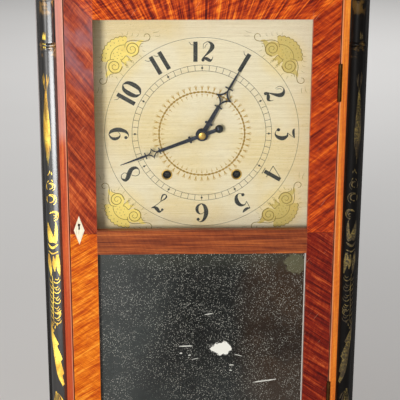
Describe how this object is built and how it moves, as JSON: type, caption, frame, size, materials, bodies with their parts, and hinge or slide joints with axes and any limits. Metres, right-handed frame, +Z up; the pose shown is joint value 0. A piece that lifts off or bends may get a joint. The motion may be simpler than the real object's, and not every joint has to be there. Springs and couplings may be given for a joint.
{
  "type": "half-column shelf clock",
  "caption": "Tall wooden shelf clock with gilt-stencilled half columns, a hinged door with painted dial above an old mirror, and a weight-driven wooden striking movement.",
  "frame": {"origin": "centre of the base, on the surface the clock stands on", "axes": "+Z up the clock, -Y out of the front, +X to the right as seen from the front"},
  "size_m": [0.412, 0.14, 0.8804],
  "materials": {
    "pine": "old bare pine",
    "mahogany": "french polished figured veneer",
    "black_paint": "glossy black paint with gilt stencilling",
    "dial_paint": "aged cream paint on wood with gilding",
    "iron": "rough cast, blackened",
    "brass": "aged brass",
    "glass": "old clear glass",
    "old_mirror": "old speckled silvering",
    "steel": "worn steel",
    "bone": "polished bone",
    "oak": "plain oak",
    "cherry": "turned cherry",
    "blued_steel": "dark blued steel",
    "cord": "twisted cotton cord"
  },
  "bodies": {
    "case": {"back_board": "pine", "case_sides": "mahogany", "end_boards": "pine", "front_strips": "mahogany", "head_rail": "mahogany", "base_rail": "mahogany", "left_column": "black_paint", "right_column": "black_paint", "corner_blocks": "mahogany", "crest_board": "mahogany", "movement_uprights": "pine", "dial_board": "dial_paint", "pulley_brackets": "iron", "case_hinge_leaves": "brass", "front_plate": "oak", "back_plate": "oak", "plate_pillars": "cherry", "motion_studs": "brass", "bell": "iron", "bell_post": "brass", "cord_runs": "cord", "time_cord_drop": "cord", "strike_cord_drop": "cord"},
    "door": {"door_left_stile": "mahogany", "door_right_stile": "mahogany", "door_top_rail": "mahogany", "door_middle_rail": "mahogany", "door_bottom_rail": "mahogany", "dial_glass": "glass", "looking_glass": "old_mirror", "looking_glass_back": "pine", "door_hinge_leaves": "brass", "lock_case": "brass", "escutcheon": "bone"},
    "bolt": {"lock_bolt": "steel"},
    "minute": {"centre_wheel": "cherry", "minute_hand": "blued_steel"},
    "hour": {"hour_wheel": "cherry", "hour_hand": "blued_steel"},
    "minute_wheel": {"minute_wheel": "cherry"},
    "third": {"third_wheel": "cherry"},
    "escape": {"escape_wheel": "brass"},
    "time_great": {"time_great_wheel": "cherry"},
    "time_click": {"time_click": "brass"},
    "time_drum": {"time_drum": "cherry"},
    "time_pulley": {"time_pulley": "cherry"},
    "time_weight": {"time_weight": "iron"},
    "verge": {"verge": "blued_steel"},
    "pendulum": {"pendulum_rod": "brass", "pendulum_bob": "brass"},
    "strike_great": {"strike_great_wheel": "cherry"},
    "strike_click": {"strike_click": "brass"},
    "strike_drum": {"strike_drum": "cherry"},
    "strike_pulley": {"strike_pulley": "cherry"},
    "strike_weight": {"strike_weight": "iron"},
    "pin_wheel": {"pin_wheel": "cherry"},
    "count_wheel": {"count_wheel": "cherry"},
    "warning_wheel": {"warning_wheel": "cherry"},
    "fly": {"fly": "cherry"},
    "hammer": {"hammer": "iron"}
  },
  "joints": [
    {"name": "door_hinge", "type": "hinge", "parent": "case", "child": "door", "pos_m": [0.1724, -0.0586, 0.3922], "axis": [0, 0, 1], "range_deg": [0, 110]},
    {"name": "lock_bolt_throw", "type": "slide", "parent": "door", "child": "bolt", "axis": [-1, 0, 0], "range_m": [0, 0.008]},
    {"name": "minute_turn", "type": "hinge", "parent": "case", "child": "minute", "pos_m": [0, 0.015, 0.5377], "axis": [0, 1, 0], "continuous": true},
    {"name": "hour_turn", "type": "hinge", "parent": "case", "child": "hour", "pos_m": [0, -0.018, 0.5377], "axis": [0, 1, 0], "continuous": true},
    {"name": "minute_wheel_turn", "type": "hinge", "parent": "case", "child": "minute_wheel", "pos_m": [-0.02255, -0.016, 0.54591], "axis": [0, 1, 0], "continuous": true},
    {"name": "third_turn", "type": "hinge", "parent": "case", "child": "third", "pos_m": [0.02881, 0.021, 0.57458], "axis": [0, 1, 0], "continuous": true},
    {"name": "escape_turn", "type": "hinge", "parent": "case", "child": "escape", "pos_m": [0.02996, -0.007, 0.61856], "axis": [0, 1, 0], "continuous": true},
    {"name": "time_great_turn", "type": "hinge", "parent": "case", "child": "time_great", "pos_m": [0.0455, 0.009, 0.4827], "axis": [0, 1, 0], "continuous": true},
    {"name": "time_click_lift", "type": "hinge", "parent": "time_great", "child": "time_click", "pos_m": [0.0455, 0.014, 0.5067], "axis": [0, 1, 0], "range_deg": [0, 12]},
    {"name": "time_wind", "type": "hinge", "parent": "case", "child": "time_drum", "pos_m": [0.0455, 0.025, 0.4827], "axis": [0, 1, 0], "range_deg": [0, 1440]},
    {"name": "time_pulley_turn", "type": "hinge", "parent": "case", "child": "time_pulley", "pos_m": [0.1416, 0.025, 0.7424], "axis": [0, 1, 0], "range_deg": [-1640, 0]},
    {"name": "time_weight_rise", "type": "slide", "parent": "case", "child": "time_weight", "axis": [0, 0, 1], "range_m": [0, 0.48], "deforming": ["time_cord_drop"]},
    {"name": "verge_rock", "type": "hinge", "parent": "case", "child": "verge", "pos_m": [0.02996, -0.007, 0.64766], "axis": [0, 1, 0], "range_deg": [-2.5, 2.5]},
    {"name": "pendulum_swing", "type": "hinge", "parent": "case", "child": "pendulum", "pos_m": [0.02996, -0.012, 0.64766], "axis": [0, 1, 0], "range_deg": [-2.5, 2.5]},
    {"name": "strike_great_turn", "type": "hinge", "parent": "case", "child": "strike_great", "pos_m": [-0.0455, 0.044, 0.4827], "axis": [0, 1, 0], "continuous": true},
    {"name": "strike_click_lift", "type": "hinge", "parent": "strike_great", "child": "strike_click", "pos_m": [-0.0455, 0.039, 0.5067], "axis": [0, -1, 0], "range_deg": [0, 12]},
    {"name": "strike_wind", "type": "hinge", "parent": "case", "child": "strike_drum", "pos_m": [-0.0455, 0.025, 0.4827], "axis": [0, -1, 0], "range_deg": [0, 1440]},
    {"name": "strike_pulley_turn", "type": "hinge", "parent": "case", "child": "strike_pulley", "pos_m": [-0.1416, 0.025, 0.7424], "axis": [0, -1, 0], "range_deg": [-1640, 0]},
    {"name": "strike_weight_rise", "type": "slide", "parent": "case", "child": "strike_weight", "axis": [0, 0, 1], "range_m": [0, 0.48], "deforming": ["strike_cord_drop"]},
    {"name": "pin_wheel_turn", "type": "hinge", "parent": "case", "child": "pin_wheel", "pos_m": [-0.06398, 0.037, 0.55165], "axis": [0, 1, 0], "continuous": true},
    {"name": "count_wheel_turn", "type": "hinge", "parent": "case", "child": "count_wheel", "pos_m": [-0.06772, -0.007, 0.59449], "axis": [0, 1, 0], "continuous": true},
    {"name": "warning_turn", "type": "hinge", "parent": "case", "child": "warning_wheel", "pos_m": [-0.0608, 0.029, 0.58791], "axis": [0, 1, 0], "continuous": true},
    {"name": "fly_turn", "type": "hinge", "parent": "case", "child": "fly", "pos_m": [-0.0476, 0.015, 0.61077], "axis": [0, 1, 0], "continuous": true},
    {"name": "hammer_lift", "type": "hinge", "parent": "case", "child": "hammer", "pos_m": [-0.102, 0.035, 0.5517], "axis": [0, 1, 0], "range_deg": [0, 6]}
  ],
  "couplings": [
    {"joint": "hour_turn", "follows": "minute_turn", "ratio": 0.083333},
    {"joint": "minute_wheel_turn", "follows": "minute_turn", "ratio": -0.33333},
    {"joint": "third_turn", "follows": "minute_turn", "ratio": -8},
    {"joint": "escape_turn", "follows": "minute_turn", "ratio": 80},
    {"joint": "time_great_turn", "follows": "minute_turn", "ratio": -0.13333},
    {"joint": "time_pulley_turn", "follows": "time_weight_rise", "rad_per_m": -59.172},
    {"joint": "time_wind", "follows": "time_weight_rise", "rad_per_m": 52.356},
    {"joint": "verge_rock", "follows": "pendulum_swing", "ratio": 1},
    {"joint": "strike_pulley_turn", "follows": "strike_weight_rise", "rad_per_m": -59.172},
    {"joint": "strike_wind", "follows": "strike_weight_rise", "rad_per_m": 52.356},
    {"joint": "pin_wheel_turn", "follows": "strike_great_turn", "ratio": -7.5},
    {"joint": "count_wheel_turn", "follows": "strike_great_turn", "ratio": 0.76923},
    {"joint": "warning_turn", "follows": "strike_great_turn", "ratio": 45},
    {"joint": "fly_turn", "follows": "strike_great_turn", "ratio": -225}
  ]
}
